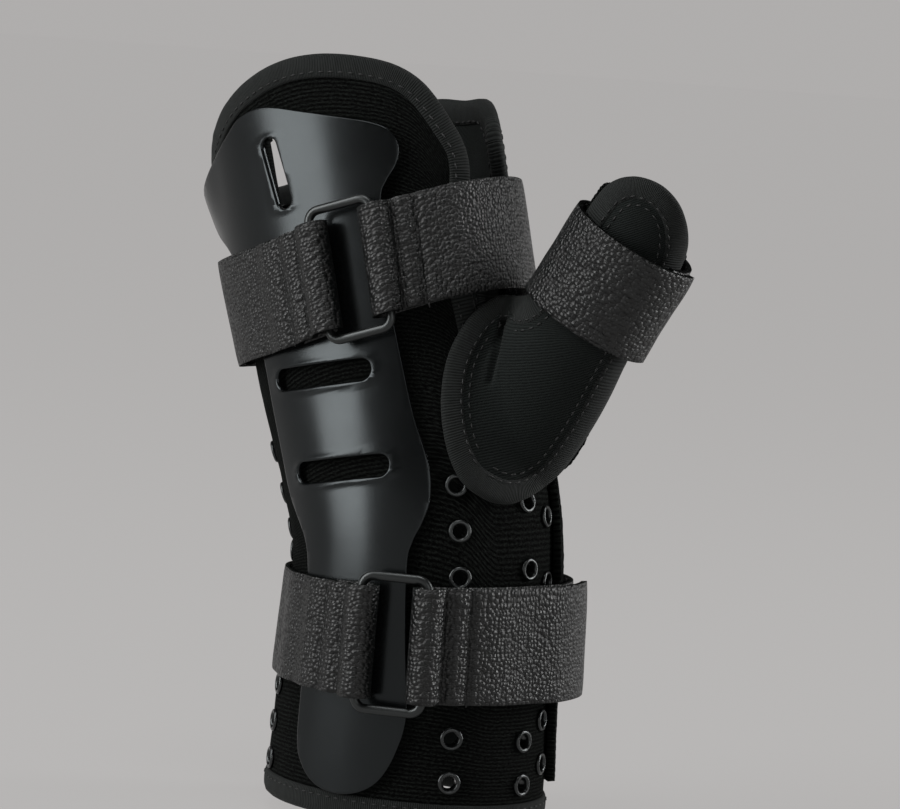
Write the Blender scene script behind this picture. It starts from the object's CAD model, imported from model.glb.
# %% [markdown]
# # A thumb spica splint in its worn shape
# A thumb spica splint holds a sore wrist and thumb still. A padded wrap is closed round the forearm
# and hand, a pressed metal stay lies along the palm side, and two straps with flat rings and a
# strapped sleeve round the thumb pull it tight. It stands as if a hand were in it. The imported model
# is loaded first, because every piece made here has to lie where its solid lies.

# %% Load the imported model
from itertools import accumulate
from math import cos, degrees, exp, hypot, radians, sin, sqrt, tan, tau

import bmesh
import bpy
from mathutils import Matrix, Vector, noise


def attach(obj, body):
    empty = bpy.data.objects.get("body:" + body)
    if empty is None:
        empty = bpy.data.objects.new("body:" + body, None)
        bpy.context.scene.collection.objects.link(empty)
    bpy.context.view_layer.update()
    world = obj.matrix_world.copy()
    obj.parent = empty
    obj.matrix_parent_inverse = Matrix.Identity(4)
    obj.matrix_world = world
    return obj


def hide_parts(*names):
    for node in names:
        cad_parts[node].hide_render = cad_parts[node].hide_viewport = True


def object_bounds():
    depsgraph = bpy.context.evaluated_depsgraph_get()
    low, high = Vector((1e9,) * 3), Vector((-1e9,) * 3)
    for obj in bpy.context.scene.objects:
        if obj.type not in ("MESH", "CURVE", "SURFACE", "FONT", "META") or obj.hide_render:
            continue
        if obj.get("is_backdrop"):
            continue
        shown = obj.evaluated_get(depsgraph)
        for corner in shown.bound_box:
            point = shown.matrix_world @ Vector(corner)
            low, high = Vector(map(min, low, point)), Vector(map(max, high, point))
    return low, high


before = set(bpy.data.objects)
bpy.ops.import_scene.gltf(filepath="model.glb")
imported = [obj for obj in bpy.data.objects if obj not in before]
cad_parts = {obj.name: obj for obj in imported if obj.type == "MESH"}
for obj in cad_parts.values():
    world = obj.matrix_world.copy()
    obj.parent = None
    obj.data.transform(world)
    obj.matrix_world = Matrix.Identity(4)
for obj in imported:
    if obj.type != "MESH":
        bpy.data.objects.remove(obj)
cad_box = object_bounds()
print("solids in the model:", len(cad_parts))

# %% [markdown]
# ## The skin that everything lies on
# The wrap is a bent tube with an oval section. Cloth, tape, stay and straps all follow its skin, so
# one function gives a point of it from a length along the arm, an angle round it and a height above
# it. Lengths are in millimetres, as on a pattern, and are turned into metres at the end. The sizes
# come from a few tables, joined by smooth curves, so that no piece has a kink where a row ends.

# %% Smooth tables and the middle line
FOREARM, HAND = 79.0, 134.0
WRIST_BEND, SIDE_LEAN, BACK_LEAN = 18, -19.5, 1
MM = 0.001


def from_table(rows, at):
    if at <= rows[0][0]:
        return rows[0][1]
    if at >= rows[-1][0]:
        return rows[-1][1]
    k = next(i for i in range(len(rows) - 1) if rows[i + 1][0] >= at)

    def slope(i):
        if i in (0, len(rows) - 1):
            return 0
        return (rows[i + 1][1] - rows[i - 1][1]) / (rows[i + 1][0] - rows[i - 1][0])

    span = rows[k + 1][0] - rows[k][0]
    t = (at - rows[k][0]) / span
    return (rows[k][1] * (2 * t**3 - 3 * t**2 + 1) + slope(k) * span * (t**3 - 2 * t**2 + t)
            + rows[k + 1][1] * (3 * t**2 - 2 * t**3) + slope(k + 1) * span * (t**3 - t**2))


def between(a, b, t):
    return a[0] + (b[0] - a[0]) * t, a[1] + (b[1] - a[1]) * t


def smoothstep(x, low, high):
    t = min(max((x - low) / (high - low), 0), 1)
    return t * t * (3 - 2 * t)


def middle_way(along):
    turned = smoothstep(along, -WRIST_BEND, WRIST_BEND)
    lean = [tan(radians(angle)) for angle in (SIDE_LEAN, BACK_LEAN)]
    return Vector((lean[0] * turned, lean[1] * turned, 1)).normalized()


start, middle_length = -FOREARM - 20, 273
middle = [Vector((0, 0, start))]
for i in range(middle_length):
    middle.append(middle[-1] + middle_way(start + i + 0.5))
drift = middle[int(-start)].copy()
middle = [point - drift for point in middle]
print("middle line:", len(middle), "points, 1 mm apart")

# %% [markdown]
# On that line, the width, the depth and the sideways shift of the oval give a point on the skin. A
# piece that is set on the skin, such as a ring, also needs the directions there: out, around and up.

# %% A point on the skin
WIDTHS = [(-FOREARM, 86), (0, 79), (0.4 * HAND, 88), (HAND, 95)]
DEPTHS = [(-FOREARM, 70), (0, 68), (0.4 * HAND, 62), (HAND, 60)]
SHIFTS = [(-FOREARM, -2), (0, -0.6), (0.4 * HAND, 0), (HAND, 1.4)]


def frame_at(along):
    step = min(max(along - start, 0), len(middle) - 2)
    k = int(step)
    up = middle_way(along)
    side = (Vector((1, 0, 0)) - up * up.x).normalized()
    return middle[k].lerp(middle[k + 1], step - k), up, side, up.cross(side)


def on_wrap(along, angle, lift=0.0):
    point, up, side, back = frame_at(along)
    turn = radians(angle)
    x = from_table(SHIFTS, along) + (from_table(WIDTHS, along) / 2 + lift) * sin(turn)
    y = -(from_table(DEPTHS, along) / 2 + lift) * cos(turn)
    return point + side * x + back * y


def skin_reach(along, angle, lift=0.0):
    a = (from_table(WIDTHS, along) / 2 + lift) * cos(radians(angle))
    b = (from_table(DEPTHS, along) / 2 + lift) * sin(radians(angle))
    return hypot(a, b)


def skin_frame(along, angle, lift=0.0):
    around = (on_wrap(along, angle + 1, lift) - on_wrap(along, angle - 1, lift)).normalized()
    rise = on_wrap(along + 1, angle, lift) - on_wrap(along - 1, angle, lift)
    out = around.cross(rise.normalized()).normalized()
    return on_wrap(along, angle, lift), out, around, out.cross(around)


print("wrist to hem", FOREARM, "mm, wrist to finger edge", HAND, "mm")

# %% [markdown]
# ## From a flat grid to a curved piece
# Cloth starts flat, so each cloth piece starts as a flat grid that is then laid on its surface. The
# grid keeps a map in millimetres, so a weave or a grain has its true size and follows the piece.
# A tube, such as a binding tape, is the same grid with its two long edges joined.

# %% Grids, thickness and finish
def laid_grid(across, up, place, size, keep=None, tube=False, flip=False):
    mesh = bmesh.new()
    bmesh.ops.create_grid(mesh, x_segments=across, y_segments=up, size=0.5)
    flat_map = mesh.loops.layers.uv.new("UVMap")
    for face in mesh.faces:
        for corner in face.loops:
            spot = corner.vert.co
            corner[flat_map].uv = ((spot.x + 0.5) * size[0], (spot.y + 0.5) * size[1])
    if keep:
        doomed = [f for f in mesh.faces
                  if not keep(f.calc_center_median().x + 0.5, f.calc_center_median().y + 0.5)]
        bmesh.ops.delete(mesh, geom=doomed, context="FACES")
    for vert in mesh.verts:
        vert.co = place(vert.co.x + 0.5, vert.co.y + 0.5) * MM
    if tube:
        bmesh.ops.remove_doubles(mesh, verts=mesh.verts, dist=1e-6)
    if flip:
        bmesh.ops.reverse_faces(mesh, faces=mesh.faces)
    return mesh


def in_scene(name, data):
    made = bpy.data.objects.new(name, data)
    bpy.context.scene.collection.objects.link(made)
    return made


def piece_from(mesh, name, materials, closed=False):
    if closed:
        bmesh.ops.recalc_face_normals(mesh, faces=mesh.faces)
    data = bpy.data.meshes.new(name)
    mesh.to_mesh(data)
    mesh.free()
    for material in materials:
        data.materials.append(material)
    data.shade_smooth()
    return in_scene(name, data)


def thicken(piece, thickness, inwards=-1.0, rim=0, inner=0):
    wall = piece.modifiers.new("wall", "SOLIDIFY")
    wall.thickness, wall.offset = thickness * MM, inwards
    wall.use_even_offset = True
    wall.material_offset, wall.material_offset_rim = inner, rim


def settle(piece, nodes):
    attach(piece, "root")
    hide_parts(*nodes)
    print(piece.name, "stands for", len(nodes), "solid(s)")


# %% [markdown]
# ## Finishes
# All of the splint is black, so the finishes differ in surface and gloss alone: looped cloth with
# ribs, ribbed tape, smooth stretch cloth, pebbled leather cloth, lacquered metal and blackened
# eyelets. Each has its pattern worked out from the piece's own map in millimetres by a few nodes.

# %% A small kit for node materials
def set_inputs(node, **values):
    for socket, value in values.items():
        node.inputs[socket.replace("_", " ")].default_value = value


def add_node(tree, kind, vector=None, **values):
    node = tree.nodes.new("ShaderNode" + kind)
    set_inputs(node, **values)
    if vector is not None:
        tree.links.new(vector, node.inputs["Vector"])
    return node


def new_finish(name, colour, roughness, metallic=0.0, **values):
    material = bpy.data.materials.new(name)
    material.use_nodes = True
    tree = material.node_tree
    surface = tree.nodes["Principled BSDF"]
    set_inputs(surface, Base_Color=(*colour, 1), Roughness=roughness, Metallic=metallic, **values)
    return material, tree, surface


def flat_place(tree, scale=(1, 1, 1), turn=0.0):
    flat = add_node(tree, "TexCoord").outputs["UV"]
    return add_node(tree, "Mapping", flat, Scale=scale, Rotation=(0, 0, turn)).outputs["Vector"]


def node_noise(tree, vector, scale, detail=3.0, roughness=0.6):
    values = dict(Scale=scale, Detail=detail, Roughness=roughness)
    return add_node(tree, "TexNoise", vector, **values).outputs["Fac"]


def node_wave(tree, vector, scale, direction="Y", distortion=0.0):
    node = add_node(tree, "TexWave", vector, Scale=scale, Distortion=distortion, Detail_Scale=1.5)
    node.bands_direction = direction
    return node.outputs["Fac"]


def node_math(tree, kind, *values):
    node = add_node(tree, "Math")
    node.operation = kind
    for socket, value in zip(node.inputs, values):
        if isinstance(value, (int, float)):
            socket.default_value = value
        else:
            tree.links.new(value, socket)
    return node.outputs["Value"]


def gloss(tree, surface, value, low, high):
    ramp = add_node(tree, "MapRange", To_Min=low, To_Max=high)
    tree.links.new(value, ramp.inputs["Value"])
    tree.links.new(ramp.outputs["Result"], surface.inputs["Roughness"])


def colours(tree, surface, value, dark, light, low=0.0, high=1.0):
    ramp = add_node(tree, "ValToRGB")
    for stop, colour, at in zip(ramp.color_ramp.elements, (dark, light), (low, high)):
        stop.color, stop.position = (*colour, 1), at
    tree.links.new(value, ramp.inputs["Fac"])
    tree.links.new(ramp.outputs["Color"], surface.inputs["Base Color"])


def relief(tree, surface, height, depth):
    bump = add_node(tree, "Bump", Strength=1.0, Distance=depth * MM)
    tree.links.new(height, bump.inputs["Height"])
    tree.links.new(bump.outputs["Normal"], surface.inputs["Normal"])


# %% [markdown]
# ### Loop cloth
# The wrap is covered with looped cloth that hook tape grips. Its loops stand in faint rows round the
# arm, and light catches only their tips. The loops come from a fine noise stretched along the row,
# and a wave raises every other row a little. Tape and smooth cloth have fine ribs and twill instead.

# %% Cloth and tape finishes
def make_loop_cloth():
    material, tree, surface = new_finish(
        "loop_cloth", (0.012, 0.013, 0.013), 0.97, Specular_IOR_Level=0.05)
    rows = node_wave(tree, flat_place(tree), 0.25, "Y", 1.6)
    loops = node_noise(tree, flat_place(tree, (0.8, 1.7, 1)), 1.2, 4.0, 0.85)
    height = node_math(tree, "MULTIPLY", loops, node_math(tree, "MULTIPLY_ADD", rows, 0.24, 0.8))
    colours(tree, surface, height, (0.0005, 0.0007, 0.0006), (0.03, 0.034, 0.031), 0.4, 0.72)
    relief(tree, surface, height, 1.5)
    return material


def make_tape():
    material, tree, surface = new_finish(
        "tape", (0.02, 0.022, 0.022), 0.8, Sheen_Weight=0.03, Specular_IOR_Level=0.14)
    ribs = node_wave(tree, flat_place(tree), 0.5, "X", 0.2)
    wear = node_noise(tree, flat_place(tree), 0.5, 3.0)
    height = node_math(tree, "MULTIPLY_ADD", wear, 0.9, ribs)
    colours(tree, surface, height, (0.001, 0.0013, 0.0012), (0.014, 0.016, 0.0152), 0.3, 1.6)
    relief(tree, surface, height, 0.16)
    return material


def make_smooth_cloth():
    material, tree, surface = new_finish(
        "smooth_cloth", (0.006, 0.007, 0.007), 0.9, Sheen_Weight=0.04, Specular_IOR_Level=0.1)
    twill = node_wave(tree, flat_place(tree, (1, 1, 1), 0.7), 0.5, "X", 1.6)
    fine = node_noise(tree, flat_place(tree), 1.6, 3.0, 0.7)
    height = node_math(tree, "ADD", twill, fine)
    colours(tree, surface, height, (0.0008, 0.0013, 0.0012), (0.0095, 0.0118, 0.011), 0.4, 1.4)
    relief(tree, surface, height, 0.12)
    return material


loop_cloth, tape_cloth, smooth_cloth = make_loop_cloth(), make_tape(), make_smooth_cloth()
inner_cloth = make_smooth_cloth()
inner_cloth.name = "lining_cloth"

# %% [markdown]
# ### Leather cloth and metal
# The straps are a pebbled leather cloth: small rounded cells with narrow creases between them, and
# gloss on the tops. A Voronoi pattern, bent a little by noise, has that shape. The stay is pressed
# metal under a dark satin lacquer, and rings and eyelets are a plain dark metal, so their gloss
# varies only by a faint cloud.

# %% Leather and metal finishes
def make_leather():
    material, tree, surface = new_finish(
        "pebbled_leather", (0.016, 0.018, 0.019), 0.42, Specular_IOR_Level=0.42)
    place = flat_place(tree, (0.95, 1.15, 1))
    warp = add_node(tree, "TexNoise", place, Scale=0.9)
    bent = add_node(tree, "VectorMath")
    bent.operation = "MULTIPLY_ADD"
    bent.inputs[1].default_value = (0.45, 0.45, 0)
    tree.links.new(warp.outputs["Color"], bent.inputs[0])
    tree.links.new(place, bent.inputs[2])
    cells = add_node(tree, "TexVoronoi", bent.outputs["Vector"], Scale=0.74, Randomness=0.7)
    fine = node_noise(tree, flat_place(tree), 3.0, 2.0)
    tops = node_math(tree, "SUBTRACT", 1.0, node_math(tree, "POWER", cells.outputs["Distance"], 1.7))
    height = node_math(tree, "MULTIPLY_ADD", fine, 0.06, tops)
    colours(tree, surface, tops, (0.0002, 0.0003, 0.0003), (0.0034, 0.0042, 0.0041), 0.5, 0.85)
    gloss(tree, surface, tops, 0.75, 0.27)
    relief(tree, surface, height, 0.75)
    return material


def make_metal(name, colour, roughness, metallic):
    material, tree, surface = new_finish(name, colour, roughness, metallic)
    place = add_node(tree, "TexCoord").outputs["Object"]
    gloss(tree, surface, node_noise(tree, place, 60.0, 4.0), roughness - 0.06, roughness + 0.08)
    relief(tree, surface, node_noise(tree, place, 1800.0, 2.0), 0.012)
    return material


leather = make_leather()
stay_metal = make_metal("satin_stay", (0.025, 0.028, 0.029), 0.22, 0.9)
ring_metal = make_metal("gunmetal", (0.045, 0.048, 0.048), 0.32, 0.88)
eyelet_metal = make_metal("eyelet_black", (0.045, 0.048, 0.048), 0.26, 0.9)
thread, thread_tree, thread_surface = new_finish("thread", (0.012, 0.013, 0.013), 0.6)
twist = node_noise(thread_tree, add_node(thread_tree, "TexCoord").outputs["Object"], 900.0)
colours(thread_tree, thread_surface, twist, (0.0006, 0.0007, 0.0007), (0.006, 0.0068, 0.0066))
print("finishes made:", len(bpy.data.materials))

# %% [markdown]
# ## The wrap
# The wrap is one padded panel, 3 mm thick, open along the thumb side. It parts round the root of
# the thumb and stands open above it. The grid runs from one long edge round the arm to the other,
# with its upper side cut to the curve over the knuckles. Faces are left out where an eyelet or the
# slot behind the stay goes through, and the flange or the plate covers the stepped edge.

# %% Cut of the wrap
TAPE_WIDTH = 6.2
EDGE_ROWS = [  # share of the hand, angle of the front edge, angle of the back edge
    (0.02, 124, 126), (0.14, 84, 128), (0.26, 62, 131), (0.36, 59, 146), (0.46, 57, 158),
    (0.55, 57, 152), (0.66, 60, 128), (0.75, 66, 116), (0.9, 68, 112)]
FRONT_EDGE = [(-FOREARM, 124)] + [(share * HAND, front) for share, front, _ in EDGE_ROWS]
BACK_EDGE = [(-FOREARM, 126)] + [(share * HAND, back) for share, _, back in EDGE_ROWS]
TOP_EDGE = [(-245, 0.805), (-232, 0.855), (-212, 0.88), (-190, 0.915), (-165, 0.885), (-140, 0.83),
            (-100, 0.81), (-65, 0.84), (-43, 0.92), (-20, 0.98), (5, 1.0), (30, 0.965), (50, 0.9),
            (68, 0.76)]


def wrap_place(around, rise):
    along = angle = 0.0
    for _ in range(3):
        front, back = from_table(FRONT_EDGE, along), from_table(BACK_EDGE, along) - 360
        angle = front * (1 - around) + back * around
        top = HAND * from_table(TOP_EDGE, angle)
        along = (-FOREARM + TAPE_WIDTH) * (1 - rise) + top * rise
    return along, angle


PITCH, EYELET, STRAP_WIDTH = 12.6, 3.3, 32.0
UPPER_AT, LOWER_AT = 0.5545 * HAND, -0.3354 * FOREARM
SLOT_ALONG, SLOT_ANGLE, SLOT_LENGTH, SLOT_WIDTH = 0.808 * HAND, -6.0, 21.5, 4.8
SKIN_RADIUS, SLOT_ROOM, HOLE_RADIUS = 43, 3.2, 2.5


def run(angle, first, count, pitch=PITCH):
    return [(first - k * pitch, angle) for k in range(count)]


strap_top, strap_low = LOWER_AT + STRAP_WIDTH / 2, LOWER_AT - STRAP_WIDTH / 2
hem_pair = TAPE_WIDTH + 2.2 * EYELET + PITCH - FOREARM
outer_top, outer_low = strap_low - EYELET - 0.2, TAPE_WIDTH + EYELET + 1.5 - FOREARM
palm_top = 0.2525 * HAND
EYELETS = run(49, strap_top + 20.3, 3, 9.4) + run(49, hem_pair, 2)
EYELETS += run(86, strap_top + 15.5, 2) + run(86, hem_pair - 1, 2)
EYELETS += run(103, strap_top + 12.5, 2) + run(103, hem_pair + 4, 2)
EYELETS += run(-46, outer_top, 3, (outer_top - outer_low) / 2)
EYELETS += run(-66, palm_top, 4, (palm_top - strap_top - 6.5) / 3)
EYELETS += run(-110, palm_top, 3) + run(-110, hem_pair - 1, 2)
hole_spots = [on_wrap(along, angle) for along, angle in EYELETS]


def in_slot(along, angle):
    x = radians(angle - SLOT_ANGLE) * SKIN_RADIUS
    y = abs(along - SLOT_ALONG) - (SLOT_LENGTH - SLOT_WIDTH) / 2
    return hypot(x, max(y, 0)) < SLOT_WIDTH / 2 + SLOT_ROOM


def wrap_kept(around, rise):
    along, angle = wrap_place(around, rise)
    if in_slot(along, angle):
        return False
    spot = on_wrap(along, angle)
    return min((spot - hole).length_squared for hole in hole_spots) > HOLE_RADIUS**2


print("eyelets planned:", len(EYELETS))

# %% [markdown]
# The cloth is not a perfect oval: the padding gives under each strap and stands a touch proud between
# them. A slow noise and a shallow press where each strap lies do that here.

# %% The wrap
PRESSED_AT, PRESS_HALF, PRESS_DEPTH, WRAP_WALL = (-26.5, 78), 17, 0.35, 3.2


def give(along, angle):
    spot = on_wrap(along, angle)
    soft = 0.45 * noise.noise(spot * 0.045) + 0.2 * noise.noise(spot * 0.12)
    press = sum(exp(-((along - at) / PRESS_HALF) ** 6) for at in PRESSED_AT)
    return soft - PRESS_DEPTH * press


def wrap_point(around, rise):
    along, angle = wrap_place(around, rise)
    return on_wrap(along, angle, give(along, angle))


wrap_mesh = laid_grid(250, 165, wrap_point, (262, 205), wrap_kept, flip=True)
wrap_body = piece_from(wrap_mesh, "padded_wrap", [loop_cloth, inner_cloth])
thicken(wrap_body, WRAP_WALL, rim=1, inner=1)
settle(wrap_body, ["wrap_body"])

# %% [markdown]
# ## Binding tape
# Woven tape is folded over every cut edge and sewn down. It is swept along the edge with a rounded,
# slightly plump profile, and follows the skin as it goes, so it never stands off where the arm is
# tightly curved. "reach" runs outwards from the cloth's edge and "lift" away from its middle.

# %% Tape along an edge of the wrap
TAPE_PROFILE = [(-0.9, 0.25), (-0.5, 0.62), (0.6, 0.8), (2.2, 0.85), (4.0, 0.75), (5.3, 0.35),
                (6.0, -0.5), (6.2, -1.6), (6.0, -2.7), (5.3, -3.5), (4.0, -3.95), (2.2, -4.05),
                (0.6, -4.0), (-0.5, -3.8), (-0.9, -3.4)]


def around_profile(profile, share):
    step = share * len(profile)
    k = int(step) % len(profile)
    return between(profile[k], profile[(k + 1) % len(profile)], step - int(step))


def eased(path, rounds):
    for _ in range(rounds):
        last = path[:]
        for k in range(1, len(path) - 1):
            path[k] = tuple((b + 2 * m + a) / 4 for b, m, a in zip(last[k - 1], last[k], last[k + 1]))
    return path


def beside(along, angle, behind, ahead, outwards):
    """The place a few millimetres off an edge, at a right angle to it."""
    reach = radians(1) * skin_reach(along, angle)
    way = Vector(((ahead[1] - behind[1]) * reach, ahead[0] - behind[0])).normalized()
    return along - way.x * outwards, angle + way.y * outwards / reach


def edge_tape(name, path, side, node, length):
    def place(run, turn):
        step = run * (len(path) - 1)
        k = min(int(step), len(path) - 2)
        along, angle = between(path[k], path[k + 1], step - k)
        ahead, behind = path[min(k + 2, len(path) - 1)], path[max(k - 1, 0)]
        step_out, lift = around_profile(TAPE_PROFILE, turn)
        uneven = 0.12 * noise.noise(Vector((along, angle, 4 * sin(tau * turn))) * 0.3)
        return on_wrap(*beside(along, angle, behind, ahead, side * step_out), lift + uneven)

    mesh = laid_grid(len(path) * 2, 30, place, (length, 22), tube=True)
    bmesh.ops.holes_fill(mesh, edges=[e for e in mesh.edges if e.is_boundary])
    settle(piece_from(mesh, name, [tape_cloth], closed=True), [node])


SIDE_STEPS, TOP_STEPS, OPEN_FROM = 60, 160, 0.34 * HAND
front_edge = [wrap_place(0, k / SIDE_STEPS) for k in range(SIDE_STEPS)]
top_edge = [wrap_place(k / TOP_STEPS, 1) for k in range(1, TOP_STEPS)]
back_edge = [wrap_place(1, 1 - k / SIDE_STEPS) for k in range(SIDE_STEPS)]
opening_path = eased([spot for spot in front_edge if spot[0] > OPEN_FROM] + top_edge
                     + [spot for spot in back_edge if spot[0] > OPEN_FROM], 3)
edge_tape("opening_tape", opening_path, 1, "top_edge_tape", 420)
hem_path = [wrap_place(k / TOP_STEPS, 0) for k in range(TOP_STEPS + 1)]
edge_tape("hem_binding", hem_path, -1, "hem_tape", 250)

# %% [markdown]
# ## The flap behind the seam
# A soft flap of loop cloth is sewn behind the seam and closes over it with hook tape. Its edge is
# fuzzy, and it is what shows as a thin dark step on the thumb side.

# %% Closing flap
FLAP_ALONG, FLAP_HALF, FLAP_ANGLE, FLAP_SPREAD = -29.25, 39.75, 156, 45
FLAP_TOP, FLAP_THICK, SOFT_CORNER = 2.9, 2.2, 0.06


def flap_point(around, rise):
    turn, up = 2 * around - 1, 2 * rise - 1
    along = FLAP_ALONG + FLAP_HALF * up * (1 - SOFT_CORNER * turn**6)
    angle = FLAP_ANGLE + FLAP_SPREAD * turn * (1 - SOFT_CORNER * up**6)
    fuzz = 0.25 * noise.noise(Vector((along, angle, 0)) * 1.3)
    fuzz += 0.3 * noise.noise(Vector((along, angle, 3)) * 0.08)
    return on_wrap(along, angle, FLAP_TOP + fuzz)


flap = piece_from(laid_grid(90, 100, flap_point, (66, 80)), "closing_flap", [loop_cloth])
thicken(flap, FLAP_THICK)
settle(flap, ["closure_flap"])

# %% [markdown]
# ## The palm stay
# The stay is pressed from sheet, so its rim and slots are rounded and it has one thickness. A flat
# curve with holes gives the blank with its rounded edge. The blank is then sliced both ways into
# small faces, so that it can be bent over the wrap like the real one over its form.

# %% Outline of the stay
FLAT_REACH = 0.489 * 88
STAY_OUTLINE = [
    (-7, 0.957), (9, 0.918), (18, 0.895), (26, 0.875), (33, 0.857), (38.8, 0.836), (41.8, 0.806),
    (41.8, 0.776), (39.5, 0.75), (35.5, 0.724), (32.5, 0.687), (31, 0.56), (31, 0.41), (33.7, 0.243),
    (36.6, 0.163), (38.4, 0.104), (37, 0.055), (33, 0.02), (28.6, -0.018), (26.5, -0.089), (28, -0.304),
    (30.3, -0.582), (27.2, -0.728), (21.5, -0.835), (14, -0.889), (4.5, -0.909), (-5.5, -0.892),
    (-13, -0.835), (-17.1, -0.747), (-18, -0.539), (-20.5, -0.278), (-22.6, -0.063), (-25, 0.022),
    (-29, 0.078), (-32.3, 0.142), (-32.3, 0.231), (-32.3, 0.328), (-32, 0.433), (-35, 0.575),
    (-44, 0.687), (-59, 0.746), (-66, 0.791), (-64, 0.84), (-51, 0.877), (-38, 0.907), (-28, 0.932),
    (-19, 0.956)]
STAY_SLOTS = [  # x, along, length, width, turn in degrees
    (radians(SLOT_ANGLE) * FLAT_REACH, SLOT_ALONG, SLOT_LENGTH, SLOT_WIDTH, 96.5),
    (radians(-2.6) * FLAT_REACH, 0.36 * HAND, 33.5, 6.2, -8),
    (0.0, 0.1515 * HAND, 33.5, 6.2, -8)]


def round_loop(points, steps=5):
    loop = []
    for k in range(len(points)):
        p = [Vector(points[(k + d) % len(points)]) for d in (-1, 0, 1, 2)]
        for j in range(steps):
            t = j / steps
            loop.append(0.5 * ((2 * p[1]) + (p[2] - p[0]) * t
                               + (2 * p[0] - 5 * p[1] + 4 * p[2] - p[3]) * t * t
                               + (3 * p[1] - p[0] - 3 * p[2] + p[3]) * t**3))
    return loop


def slot_loop(x, y, length, width, turn):
    loop = []
    for centre, first in (((length - width) / 2, -90), (-(length - width) / 2, 90)):
        for k in range(13):
            around = radians(first + 15 * k)
            spot = Vector((centre + width / 2 * cos(around), width / 2 * sin(around)))
            loop.append(Vector((x, y)) + Matrix.Rotation(radians(turn), 2) @ spot)
    return loop


print("stay outline:", len(STAY_OUTLINE), "points and", len(STAY_SLOTS), "slots")

# %% [markdown]
# Pressing raises a small ridge round each slot, which catches the light, and flares the plate's
# upper left corner away from the hand. Both are a lift added to the bent blank.

# %% Press the stay
STAY_LIFT, STAY_THICK, STAY_ROUNDING, STAY_CELL = 0.95, 1.6, 0.45, 2.2


def slot_ridge(x, y):
    height = 0.0
    for sx, sy, length, width, turn in STAY_SLOTS:
        spot = Matrix.Rotation(radians(-turn), 2) @ Vector((x - sx, y - sy))
        away = hypot(max(abs(spot.x) - (length - width) / 2, 0), spot.y) - width / 2
        height += 0.3 * exp(-((away - 0.7) / 0.8) ** 2)
    return height


def stay_lift(x, y):
    angle = degrees(x / FLAT_REACH)
    flare = 2.2 * smoothstep(y, 96, 116) * smoothstep(-angle, 40, 66)
    return STAY_LIFT + slot_ridge(x, y) + flare


def curve_mesh(name, loops, dimensions, **settings):
    curve = bpy.data.curves.new(name, "CURVE")
    curve.dimensions = dimensions
    for setting, value in settings.items():
        setattr(curve, setting, value)
    for loop in loops:
        spline = curve.splines.new("POLY")
        spline.points.add(len(loop) - 1)
        for point, spot in zip(spline.points, loop):
            point.co = (spot[0], spot[1], 0, 1)
        spline.use_cyclic_u = True
    holder = in_scene(name, curve)
    bpy.context.view_layer.update()
    mesh = bmesh.new()
    mesh.from_mesh(holder.to_mesh())
    bpy.data.objects.remove(holder)
    bmesh.ops.remove_doubles(mesh, verts=mesh.verts, dist=1e-3)
    return mesh


def bent_plate(name, loops, thick, rounding, lift_at, cell):
    mesh = curve_mesh(name, loops, "2D", fill_mode="BOTH", extrude=thick / 2 - rounding,
                      bevel_depth=rounding, bevel_resolution=2, offset=-rounding)
    xs, ys = [v.co.x for v in mesh.verts], [v.co.y for v in mesh.verts]
    for axis, low, high in ((0, min(xs), max(xs)), (1, min(ys), max(ys))):
        for k in range(1, int((high - low) / cell)):
            spot, normal = Vector((0, 0, 0)), Vector((0, 0, 0))
            spot[axis], normal[axis] = low + k * cell, 1
            everything = mesh.verts[:] + mesh.edges[:] + mesh.faces[:]
            bmesh.ops.bisect_plane(mesh, geom=everything, plane_co=spot, plane_no=normal)
    flat_map = mesh.loops.layers.uv.new("UVMap")
    for face in mesh.faces:
        for corner in face.loops:
            corner[flat_map].uv = (corner.vert.co.x, corner.vert.co.y)
    for vert in mesh.verts:
        x, y, z = vert.co
        vert.co = on_wrap(y, degrees(x / FLAT_REACH), lift_at(x, y) + thick / 2 + z) * MM
    return mesh


stay_loops = [round_loop([(radians(angle) * FLAT_REACH, share * (HAND if share > 0 else FOREARM))
                          for angle, share in STAY_OUTLINE])]
stay_loops += [slot_loop(*slot) for slot in STAY_SLOTS]
stay_mesh = bent_plate("stay", stay_loops, STAY_THICK, STAY_ROUNDING, stay_lift, STAY_CELL)
stay = piece_from(stay_mesh, "palm_stay_plate", [stay_metal], closed=True)
settle(stay, ["palm_stay"])

# %% [markdown]
# ## Straps and rings
# Each strap leaves its sewn fold on the left bar of a flat ring, goes once round the arm, passes up
# through the ring, and is pressed down on itself. The path is drawn as angle and height, in the
# plane across the strap, and a grid follows it. Its heights step over cloth, stay, flap and its own
# layer, so that it clears each of them.

# %% Path of a strap
LAYER, OVER_CLOTH, OVER_STAY, OVER_FLAP = 2.1, 1.71, 3.87, 4.61
BAR_ROOM = 3.95
BAR_HEIGHT = OVER_STAY + BAR_ROOM
RING_SPAN, FOLD = 19.5, 13.0
UPPER_COURSE = [(-8, 0.5485), (20, 0.5545), (60, 0.5716), (100, 0.58), (168, 0.582), (270, 0.578),
                (300, 0.567), (325, 0.557), (352, 0.5485), (380, 0.5545)]
ON_TAIL = OVER_CLOTH + 0.3 + LAYER
UPPER = dict(ring=19, at=UPPER_AT, course=UPPER_COURSE, tail_end=168,
             tail=[(60, OVER_STAY + LAYER), (78, ON_TAIL + 0.4), (105, ON_TAIL), (168, ON_TAIL)],
             under=[(45, OVER_STAY), (68, OVER_CLOTH + 0.7), (105, OVER_CLOTH + 0.3),
                    (130, OVER_CLOTH + 0.1), (290, OVER_CLOTH), (306, OVER_STAY + 0.4),
                    (350, OVER_STAY + 0.4)])
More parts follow.
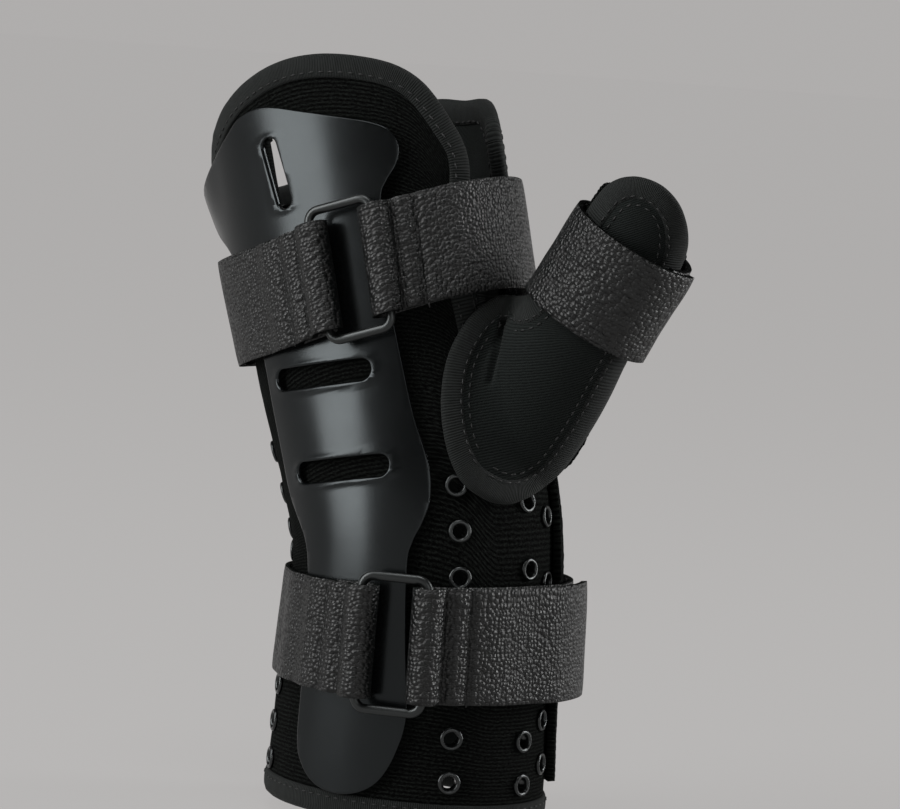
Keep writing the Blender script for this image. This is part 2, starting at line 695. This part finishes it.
LOWER = dict(ring=24, at=LOWER_AT, course=None, tail_end=126,
             tail=[(58, OVER_STAY + LAYER), (80, ON_TAIL + 0.3), (96, OVER_FLAP + 0.4 + LAYER),
                   (126, OVER_FLAP + 2.6 + LAYER)],
             under=[(44, OVER_STAY), (60, OVER_CLOTH + 0.3), (90, OVER_CLOTH + 0.3),
                    (106, OVER_FLAP + 0.2), (205, OVER_FLAP + 0.2), (218, OVER_CLOTH),
                    (318, OVER_CLOTH), (336, OVER_STAY)])


def strap_along(strap, angle):
    return HAND * from_table(strap["course"], angle) if strap["course"] else strap["at"]


def strap_reach(strap):
    return radians(1) * skin_reach(strap["at"], strap["ring"], BAR_HEIGHT - 0.6)


def fold_height(away):
    """Height of the outer layer at a distance from the bar: a crest, a puff and the sewn groove."""
    crest, flat = BAR_HEIGHT + BAR_ROOM, OVER_STAY + LAYER
    return from_table([(0, crest), (2.4, crest - 1.0), (4.8, OVER_STAY + 3.6), (8.4, OVER_STAY + 4.0),
                       (FOLD - 1.2, OVER_STAY + 2.6), (FOLD, flat - 0.2), (FOLD + 1.4, flat + 0.4),
                       (FOLD + 6, flat)], away)


def strap_path(strap):
    per_mm = 1 / strap_reach(strap)
    right = strap["ring"] + RING_SPAN / 2 * per_mm
    left = strap["ring"] + 360 - RING_SPAN / 2 * per_mm

    def stretch(first, last, rows):
        count = max(round(abs(last - first) / 2), 1)
        angles = [first + (last - first) * k / count for k in range(count + 1)]
        return [(angle, from_table(rows, angle)) for angle in angles]

    def fold_round(angle, window):
        return [(angle + window * BAR_ROOM * per_mm * cos(radians(turn)),
                 BAR_HEIGHT + BAR_ROOM * sin(radians(turn))) for turn in range(90, -91, -10)]

    outer = [0.6 * k for k in range(1, 34)]
    path = stretch(strap["tail_end"], right + 21 * per_mm, strap["tail"])
    path += [(right + away * per_mm, fold_height(away)) for away in reversed(outer)]
    path += fold_round(right, -1)
    path += stretch(right + 0.4 * FOLD * per_mm, left - 24 * per_mm, strap["under"])
    path += [(left - away * per_mm, fold_height(away)) for away in reversed(outer)]
    path += fold_round(left, 1) + [(left - 0.85 * FOLD * per_mm, OVER_STAY)]
    return path


print("points on the straps' paths:", len(strap_path(UPPER)), len(strap_path(LOWER)))

# %% [markdown]
# A strap is one strip, so its grid is as long as the path and as wide as the webbing. A crown, a
# rounded end and a slow noise keep it from looking stamped. Its thickness is added both ways.

# %% Straps
STRAP_WALL = 1.7


def run_lengths(path, per_degree):
    steps = (hypot((b[0] - a[0]) * per_degree, b[1] - a[1]) for a, b in zip(path, path[1:]))
    return list(accumulate(steps, initial=0.0))


def strap_spot(path, runs, run):
    target = run * runs[-1]
    k = next((i for i in range(len(runs) - 1) if runs[i + 1] >= target), len(runs) - 2)
    return between(path[k], path[k + 1], (target - runs[k]) / (runs[k + 1] - runs[k]))


def make_strap(name, strap, node):
    path = eased(strap_path(strap), 1)
    runs = run_lengths(path, strap_reach(strap))

    def place(run, side):
        angle, height = strap_spot(path, runs, run)
        end = smoothstep(run * runs[-1], 0, 4.5)
        corner = 1 - 0.12 * (1 - end) * abs(2 * side - 1) ** 3
        along = strap_along(strap, angle) + (side - 0.5) * (STRAP_WIDTH - 0.6) * corner
        crown = 0.25 * (1 - (2 * side - 1) ** 8)
        slack = 0.2 * noise.noise(Vector((run * runs[-1], side * 30, 5)) * 0.07)
        return on_wrap(along, angle, height + crown - 0.2 + slack)

    mesh = laid_grid(int(runs[-1] / 0.9), 26, place, (runs[-1], STRAP_WIDTH), flip=True)
    piece = piece_from(mesh, name, [leather, loop_cloth])
    thicken(piece, STRAP_WALL, 0.0, rim=1)
    settle(piece, [node])
    print(name, "strip length", round(runs[-1]), "mm")


make_strap("upper_band", UPPER, "upper_strap")
make_strap("lower_band", LOWER, "lower_strap")

# %% [markdown]
# The rings are bent from flat-sided wire. A closed curve with a round section, flattened a little, is
# closest to that.

# %% Rings
RING_WIRE, RING_SIDE_ROOM, RING_CORNER, RING_DROP, RING_FLATNESS = 2.8, 1.5, 3.4, 0.5, 0.86


def make_ring(name, strap, node):
    long, wide, corner = STRAP_WIDTH / 2 + RING_SIDE_ROOM + RING_WIRE / 2, RING_SPAN / 2, RING_CORNER
    spots = []
    for sx, sy, first in ((1, 1, 0), (-1, 1, 90), (-1, -1, 180), (1, -1, 270)):
        for k in range(7):
            turn = radians(first + 15 * k)
            spots.append((sx * (wide - corner) + corner * cos(turn),
                          sy * (long - corner) + corner * sin(turn)))
    mesh = curve_mesh(name, [spots], "3D", bevel_depth=1.35, bevel_resolution=5)
    spot = strap_along(strap, strap["ring"]), strap["ring"], BAR_HEIGHT - RING_DROP
    point, out, around, up = skin_frame(*spot)
    for vert in mesh.verts:
        x, y, z = vert.co
        vert.co = (point + around * x + up * y + out * z * RING_FLATNESS) * MM
    settle(piece_from(mesh, name, [ring_metal], closed=True), [node])


make_ring("upper_ring_wire", UPPER, "upper_ring")
make_ring("lower_ring_wire", LOWER, "lower_ring")

# %% [markdown]
# ## Eyelets
# Air eyelets are rolled from blackened metal. One turned section, spun round, gives the flange with
# its rolled rim and the barrel that goes through the cloth, and it is set into each hole.

# %% Eyelets
EYELET_SECTION = [(2.0, -3.4), (2.0, -0.2), (2.05, 0.45), (2.3, 0.85), (2.75, 0.95), (3.15, 0.75),
                  (3.3, 0.35), (3.2, 0.02), (2.45, -0.15), (2.45, -3.4)]
eyelet_mesh = bmesh.new()
for along, angle in EYELETS:
    point, out, around, up = skin_frame(along, angle, give(along, angle) + 0.05)
    verts = [eyelet_mesh.verts.new((r, 0, h)) for r, h in EYELET_SECTION]
    edges = [eyelet_mesh.edges.new((verts[k], verts[(k + 1) % len(verts)])) for k in range(len(verts))]
    bmesh.ops.spin(eyelet_mesh, geom=verts + edges, cent=(0, 0, 0), axis=(0, 0, 1),
                   angle=tau, steps=28, use_merge=True)
    for vert in [v for v in eyelet_mesh.verts if not v.tag]:
        x, y, z = vert.co
        vert.co = (point + around * x + up * y + out * z) * MM
        vert.tag = True
eyelets = piece_from(eyelet_mesh, "rolled_eyelets", [eyelet_metal], closed=True)
settle(eyelets, [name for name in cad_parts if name.startswith("eyelet")])

# %% [markdown]
# ## The thumb sleeve
# The sleeve starts as a wide tongue sewn on the palm side and closes round the thumb. Its front is
# one smooth panel, blended from the tube of the thumb into the skin of the wrap. In the thumb's own
# frame, its depth at each place is the greater of the two, rounded where they meet.

# %% Frame of the thumb
THUMB_ROOT = Vector((30.6, 1.1, 34))
THUMB_UP = Vector((0.485, 0.087, 0.87)).normalized()
face = Vector((0.585, -0.806, 0.087))
THUMB_FACE = (face - THUMB_UP * face.dot(THUMB_UP)).normalized()
THUMB_SIDE = THUMB_UP.cross(THUMB_FACE)
THUMB_CENTRE, THUMB_HALF, THUMB_DEPTH, THUMB_LENGTH, THUMB_WALL = -1.4, 15.6, 13.0, 84.0, 2.2
THUMB_WIDTHS = [(0.15, 1.17), (0.5, 1), (0.75, 1), (1, 0.94)]


def in_thumb(x, along, depth):
    return THUMB_ROOT + THUMB_SIDE * x + THUMB_UP * along + THUMB_FACE * depth


def thumb_half(along):
    return THUMB_HALF * from_table(THUMB_WIDTHS, along / THUMB_LENGTH)


def off_wrap(point):
    along = point.z
    for _ in range(4):
        centre, up, side, back = frame_at(along)
        along += (point - centre).dot(up)
    centre, up, side, back = frame_at(along)
    x = (point - centre).dot(side) - from_table(SHIFTS, along)
    y = (point - centre).dot(back)
    share = hypot(x / (from_table(WIDTHS, along) / 2), y / (from_table(DEPTHS, along) / 2))
    return hypot(x, y) * (1 - 1 / max(share, 0.01))


print("root of the thumb is", round(off_wrap(THUMB_ROOT), 1), "mm from the wrap's skin")

# %% [markdown]
# Where the panel leaves the thumb it lies on the wrap. The depth at which a line through it meets
# the wrap's skin is found by halving, on a coarse grid, and read off between the grid's points.

# %% Depth of the front panel
BLEND, CELL, PANEL_LIFT = 6.0, 3.0, 3.3
STEP, NEAREST, DEEPEST = 6, 60.0, -24.0
GRID_X, GRID_ALONG = (-36, 21), (-24, 39)


def wrap_depth(x, along):
    outside = NEAREST
    while outside > DEEPEST and off_wrap(in_thumb(x, along, outside - STEP)) > PANEL_LIFT:
        outside -= STEP
    if outside <= DEEPEST:
        return DEEPEST
    inside = outside - STEP
    for _ in range(10):
        half = (inside + outside) / 2
        if off_wrap(in_thumb(x, along, half)) > PANEL_LIFT:
            outside = half
        else:
            inside = half
    return outside


depth_rows = [[wrap_depth(GRID_X[0] + CELL * i, GRID_ALONG[0] + CELL * j) for i in range(GRID_X[1])]
              for j in range(GRID_ALONG[1])]


def skin_depth(x, along):
    i, j = (x - GRID_X[0]) / CELL, (along - GRID_ALONG[0]) / CELL
    i, j = min(max(i, 0), GRID_X[1] - 1.001), min(max(j, 0), GRID_ALONG[1] - 1.001)
    a, b = int(i), int(j)
    low = depth_rows[b][a] * (1 - i + a) + depth_rows[b][a + 1] * (i - a)
    high = depth_rows[b + 1][a] * (1 - i + a) + depth_rows[b + 1][a + 1] * (i - a)
    return low * (1 - j + b) + high * (j - b)


def panel_depth(x, along):
    share = (x - THUMB_CENTRE) / thumb_half(along)
    sleeve = THUMB_DEPTH * sqrt(1 - share**2) if abs(share) < 1 else -30 * (abs(share) - 1)
    skin = skin_depth(x, along)
    near = max(BLEND - abs(sleeve - skin), 0) / BLEND
    return max(sleeve, skin) + near**2 * BLEND / 4


print("depth grid:", len(depth_rows[0]), "by", len(depth_rows))

# %% [markdown]
# The panel's outline is drawn in the thumb's frame: a long rounded tongue with a wider lobe at the
# lower left. A point on it comes with the direction that faces out.

# %% Outline of the front panel
PANEL_OUTLINE = round_loop([
    (-1, -16), (6, -15.5), (12, -12), (16, -5), (17.2, 4), (17.3, 16), (16.4, 30), (15.6, 50),
    (14.2, 67), (11, 76), (5, 82.5), (-3, 85), (-11, 82.5), (-15.6, 76), (-17, 66), (-17.6, 50),
    (-17.8, 37.5), (-20.9, 32), (-25.6, 29.3), (-29, 22), (-28.6, 11), (-23.7, 0), (-16, -9),
    (-8, -14.5)], 8)


def panel_limits(along):
    half = thumb_half(along)
    spread = 1 - smoothstep(along, 31, 42)
    left = (THUMB_CENTRE - half * 0.998) * (1 - spread) - 31 * spread
    right = THUMB_CENTRE + half * 0.998 + 1.5 * (1 - smoothstep(along, 0, 20))
    return left, right


def panel_normal(x, along):
    left, right = panel_limits(along)
    x = min(max(x, left + 0.3), right - 0.3)
    left, right, low, high = (
        in_thumb(x + i, along + j, panel_depth(x + i, along + j))
        for i, j in ((-0.25, 0), (0.25, 0), (0, -0.25), (0, 0.25)))
    return (right - left).cross(high - low).normalized()


def on_panel(x, along, lift):
    left, right = panel_limits(along)
    spot = min(max(x, left), right)
    return in_thumb(spot, along, panel_depth(spot, along)) + panel_normal(spot, along) * lift


def inside_loop(loop, x, y):
    hit = False
    for a, b in zip(loop, loop[1:] + loop[:1]):
        if (a.y > y) != (b.y > y) and x < a.x + (y - a.y) / (b.y - a.y) * (b.x - a.x):
            hit = not hit
    return hit


# %% [markdown]
# The panel is cut on the grid inside the outline, and the tape hides its stepped edge. A short dart
# is sewn near its upper left, which shows as a narrow pinched groove.

# %% Front panel
def moved(loop, distance):
    out = []
    for k, point in enumerate(loop):
        way = (loop[(k + 1) % len(loop)] - loop[k - 1]).normalized()
        out.append(Vector((point.x + way.y * distance, point.y - way.x * distance)))
    return out


cloth_loop = moved(PANEL_OUTLINE, -4.5)
DART = (Vector((-21.2, 26.5)), Vector((-14.7, 10.5)))


def dart_depth(x, along):
    line = DART[1] - DART[0]
    t = min(max((Vector((x, along)) - DART[0]).dot(line) / line.length_squared, 0), 1)
    away = (Vector((x, along)) - DART[0] - line * t).length
    groove = -3.4 * (1 - 0.6 * t) * exp(-((away / 0.85) ** 2))
    return groove + 1.1 * (1 - 0.8 * t) * exp(-((away / 3.4) ** 2))


def panel_xt(across, rise):
    along = -18 + 105 * rise
    left, right = panel_limits(along)
    turn = sin(radians(across * 174 - 87)) / sin(radians(87))
    return (left + right) / 2 + turn * (right - left) / 2, along


def panel_point(across, rise):
    x, along = panel_xt(across, rise)
    soft = 0.3 * noise.noise(Vector((x, along, 7)) * 0.08)
    return on_panel(x, along, dart_depth(x, along) + soft)


def panel_kept(across, rise):
    return inside_loop(cloth_loop, *panel_xt(across, rise))


panel_mesh = laid_grid(130, 180, panel_point, (48, 105), panel_kept)
panel = piece_from(panel_mesh, "thumb_front", [smooth_cloth])
thicken(panel, THUMB_WALL)
settle(panel, ["thumb_panel"])

# %% [markdown]
# The panel is bound with the wrap's tape, but all round, so this tube has no ends. Its profile is
# flatter, and it covers the panel's stepped edge.

# %% Tape round the front panel
PANEL_PROFILE = [(-0.1, -0.9), (0.1, -0.1), (0.7, 0.42), (1.9, 0.6), (3.8, 0.6), (5.2, 0.5),
                 (6.0, 0.2), (6.2, -0.3), (6.0, -1.6), (4.0, -2.2), (1.2, -2.2), (0.1, -1.8)]
loop_count = len(PANEL_OUTLINE)


def panel_tape_point(run, turn):
    step = (run % 1.0) * loop_count
    k = int(step) % loop_count
    t = step - int(step)
    a, b = PANEL_OUTLINE[k], PANEL_OUTLINE[(k + 1) % loop_count]
    spot = a.lerp(b, t)
    way_a = (b - PANEL_OUTLINE[k - 1]).normalized()
    way_b = (PANEL_OUTLINE[(k + 2) % loop_count] - a).normalized()
    way = way_a.lerp(way_b, t).normalized()
    reach, lift = around_profile(PANEL_PROFILE, turn)
    return on_panel(spot.x - way.y * reach, spot.y + way.x * reach, lift)


tape_mesh = laid_grid(280, 24, panel_tape_point, (230, 16), tube=True)
panel_tape = piece_from(tape_mesh, "thumb_binding", [tape_cloth], closed=True)
settle(panel_tape, ["thumb_panel_tape"])

# %% [markdown]
# The back of the sleeve is loop cloth, so that the thumb strap grips it. It starts inside the wall
# of the wrap, where it is sewn, and its long edges stand a little wider than the front panel.

# %% Back of the sleeve
def round_thumb(along, angle, lift):
    x = THUMB_CENTRE + (thumb_half(along) + lift) * sin(radians(angle))
    return in_thumb(x, along, (THUMB_DEPTH + lift) * cos(radians(angle)))


def back_spot(around, rise):
    turn = 2 * around - 1
    top = THUMB_LENGTH * (0.86 - 0.03 * turn**4 - 0.04 * turn)
    along = -11 + (top + 11) * rise
    tucked = smoothstep(along, 2, 24) * (1 - smoothstep(along, 60, 68))
    return along, 180 - (84 - 24 * tucked * (turn > 0)) * turn


def back_point(around, rise):
    along, angle = back_spot(around, rise)
    fuzz = 0.3 * noise.noise(Vector((along, angle * 0.3, 0)) * 1.1)
    bulge = 0.4 * exp(-((along - 6) / 8) ** 2) - 3.0 * smoothstep(-along, 0, 11)
    return round_thumb(along, angle, 0.5 + fuzz + bulge)


def back_kept(around, rise):
    return off_wrap(back_point(around, rise)) > -1.5


back_mesh = laid_grid(90, 120, back_point, (46, 78), back_kept, flip=True)
sleeve_back = piece_from(back_mesh, "thumb_back", [loop_cloth, inner_cloth])
thicken(sleeve_back, THUMB_WALL, inner=1)
settle(sleeve_back, ["thumb_back_panel"])

# %% [markdown]
# The thumb strap goes once round the sleeve and closes on itself, so its angle runs past a full turn
# and its height rises by one layer where it meets its own start.

# %% Thumb strap
OVER_THUMB, ONE_LAYER = 0.5 + 3.4 * 0.3 + 0.9, 2.4
THUMB_STRAP_AT, THUMB_STRAP_WIDTH, FIRST, LAST = 51.5, 28.6, 48, 434
thumb_turns = [(FIRST, 0), (330, 0), (348, 0.2), (366, 0.5), (384, 0.85), (400, 1), (LAST, 1)]


def thumb_strap_point(run, side):
    angle = FIRST + run * (LAST - FIRST)
    height = OVER_THUMB + from_table(thumb_turns, angle) * ONE_LAYER
    crown = 0.2 * (1 - (2 * side - 1) ** 6)
    crown += 0.15 * noise.noise(Vector((angle * 0.3, side * 20, 2)) * 0.2)
    return round_thumb(THUMB_STRAP_AT + (side - 0.5) * THUMB_STRAP_WIDTH, angle, height + crown - 0.2)


strap_mesh = laid_grid(170, 24, thumb_strap_point, (118, 29), flip=True)
thumb_strap = piece_from(strap_mesh, "thumb_band", [leather, loop_cloth])
thicken(thumb_strap, STRAP_WALL, 0.0, rim=1)
settle(thumb_strap, ["thumb_strap"])

# %% [markdown]
# ## Stitches
# Rows of thread hold the tapes and the sewn folds down. A stitch is a small rounded bead, and a row
# is that bead set along a line on the skin, one every two or three millimetres, all in one mesh.

# %% Rows of stitches
def stitch_row(mesh, spots, normals, half_length=1.05, width=0.28):
    for k in range(len(spots) - 1):
        way = spots[k + 1] - spots[k]
        if way.length < 1e-6:
            continue
        along = way.normalized()
        out = (normals[k] - along * normals[k].dot(along)).normalized()
        axes = along * half_length, out.cross(along) * width, out * width
        place = Matrix(axes).transposed().to_4x4()
        place.translation = spots[k]
        bead = bmesh.ops.create_icosphere(mesh, subdivisions=1, radius=1.0, matrix=place)
        for vert in bead["verts"]:
            vert.co *= MM


def evenly(points, gap):
    steps = ((b[0] - a[0]).length for a, b in zip(points, points[1:]))
    runs, out, k = list(accumulate(steps, initial=0.0)), [], 0
    for n in range(int(runs[-1] / gap)):
        target = n * gap
        while runs[k + 1] < target:
            k += 1
        t = (target - runs[k]) / max(runs[k + 1] - runs[k], 1e-9)
        out.append((points[k][0].lerp(points[k + 1][0], t), points[k][1]))
    return [p for p, _ in out], [n for _, n in out]


def sew(name, rows):
    mesh = bmesh.new()
    for points, gap in rows:
        stitch_row(mesh, *evenly(points, gap))
    piece = piece_from(mesh, name, [thread])
    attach(piece, "root")
    print(name, "faces", len(piece.data.polygons))


def wrap_line(path, side, reach_out, lift):
    points = []
    for k in range(1, len(path) - 1):
        spot = beside(*path[k], path[k - 1], path[k + 1], side * reach_out)
        points.append((on_wrap(*spot, lift), skin_frame(*spot)[1]))
    return points


opening_row = wrap_line(opening_path, 1, 0.6, 0.85)
lining_row = [(on_wrap(a, b, -4.1), -skin_frame(a, b)[1]) for a, b in opening_path]
hem_row = wrap_line(hem_path, -1, 0.6, 0.85)
sew("wrap_stitches", [(opening_row, 3.1), (hem_row, 3.1), (lining_row, 3.4)])


def fold_line(strap, side):
    reach = strap_reach(strap)
    angle = strap["ring"] + side * RING_SPAN / 2 / reach
    middle_along, sewn_at = strap_along(strap, angle), angle + side * FOLD / reach
    spots = [(middle_along + 0.5 * k, sewn_at) for k in range(-31, 32)]
    return [(on_wrap(*spot, fold_height(FOLD) + 0.75), skin_frame(*spot)[1]) for spot in spots]


fold_rows = [(fold_line(strap, side), 2.4) for strap in (UPPER, LOWER) for side in (1, -1)]
sew("strap_stitches", fold_rows)

panel_rows = []
for inset, lift in ((5.4, 0.5), (7.6, 0.12)):
    line = moved(PANEL_OUTLINE, -inset)
    line += line[:1]
    panel_rows.append(([(on_panel(p.x, p.y, lift), panel_normal(p.x, p.y)) for p in line], 2.9))
sew("thumb_stitches", panel_rows)

# %% [markdown]
# ## Stage, light and camera
# The photo is a plain studio picture: a pale grey sweep, a tall soft light from the left that draws
# the bright bands on stay and straps, and weaker ones from the right, above and the front. The floor
# glows, so that it stays even behind the splint, and the sky has the floor's tone at the horizon and
# darkens above it, so that it doesn't fill the black cloth with light.

# %% Floor and camera
FLOOR_DROP = 0.004
floor_mesh = bmesh.new()
bmesh.ops.create_grid(floor_mesh, x_segments=2, y_segments=2, size=30.0)
bmesh.ops.translate(floor_mesh, verts=floor_mesh.verts, vec=(0, 0, cad_box[0][2] - FLOOR_DROP))
sweep = new_finish("pale_floor", (0.06, 0.0595, 0.059), 0.95, Specular_IOR_Level=0.0,
                   Emission_Color=(0.43, 0.42, 0.415, 1), Emission_Strength=0.98)[0]
floor = piece_from(floor_mesh, "floor", [sweep])
floor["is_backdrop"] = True

AZIMUTH, ELEVATION, ROLL = radians(36), radians(5), radians(4)
DISTANCE, AIM_RIGHT, AIM_UP = 1.2, 0.0075, 0.0378
back_way = Vector((sin(AZIMUTH) * cos(ELEVATION), -cos(AZIMUTH) * cos(ELEVATION),
                   sin(ELEVATION)))
right_way = Vector((cos(AZIMUTH), sin(AZIMUTH), 0))
up_way = back_way.cross(right_way)
right_rolled = right_way * cos(ROLL) + up_way * sin(ROLL)
up_rolled = up_way * cos(ROLL) - right_way * sin(ROLL)
target = right_rolled * AIM_RIGHT + up_rolled * AIM_UP

camera_data = bpy.data.cameras.new("camera")
camera = in_scene("camera", camera_data)
camera.matrix_world = Matrix((right_rolled, up_rolled, back_way)).transposed().to_4x4()
camera.location = target + back_way * DISTANCE
camera_data.lens, camera_data.sensor_width = 165.5, 36.0
bpy.context.scene.camera = camera
print("camera stands", DISTANCE, "m off, lens", camera_data.lens, "mm")

# %% [markdown]
# The lamps are rectangles, which draw even bands on curved metal. Their places are told from the
# camera: to the side, up, and towards it.

# %% Lights and sky
def soft_light(name, side, rise, towards, width, height, power):
    data = bpy.data.lights.new(name, "AREA")
    data.shape, data.size, data.size_y, data.energy = "RECTANGLE", width, height, power
    lamp = in_scene(name, data)
    lamp.location = target + right_way * side + Vector((0, 0, rise)) + back_way * towards
    lamp.rotation_euler = (target - lamp.location).to_track_quat("-Z", "Y").to_euler()


soft_light("left_light", -1.25, 0.36, 0.45, 0.7, 1.9, 27)
soft_light("right_light", 1.35, 0.35, -0.25, 0.35, 1.4, 19)
soft_light("top_light", -0.2, 1.7, 0.35, 1.0, 0.6, 12)
soft_light("front_light", 0.5, 0.3, 1.9, 0.9, 0.9, 4)
world = bpy.data.worlds.new("studio")
world.use_nodes = True
sky = world.node_tree
height = add_node(sky, "SeparateXYZ", add_node(sky, "TexCoord").outputs["Generated"])
fade = add_node(sky, "MapRange", From_Min=0.12, From_Max=0.24, To_Min=0.433, To_Max=0.05)
sky.links.new(height.outputs["Z"], fade.inputs["Value"])
background = sky.nodes["Background"]
background.inputs["Color"].default_value = (0.995, 0.972, 0.96, 1)
sky.links.new(fade.outputs["Result"], background.inputs["Strength"])
bpy.context.scene.world = world
bpy.context.scene.view_settings.view_transform = "Standard"
print("lamps:", len(bpy.data.lights))

# %% [markdown]
# Last, the box of everything made here is set against the box of the solids: they should agree.

# %% Sizes, and the end
looks_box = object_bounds()
for label, box in (("solids", cad_box), ("looks", looks_box)):
    print(label, [round((b - a) * 1000, 1) for a, b in zip(*box)], "mm")
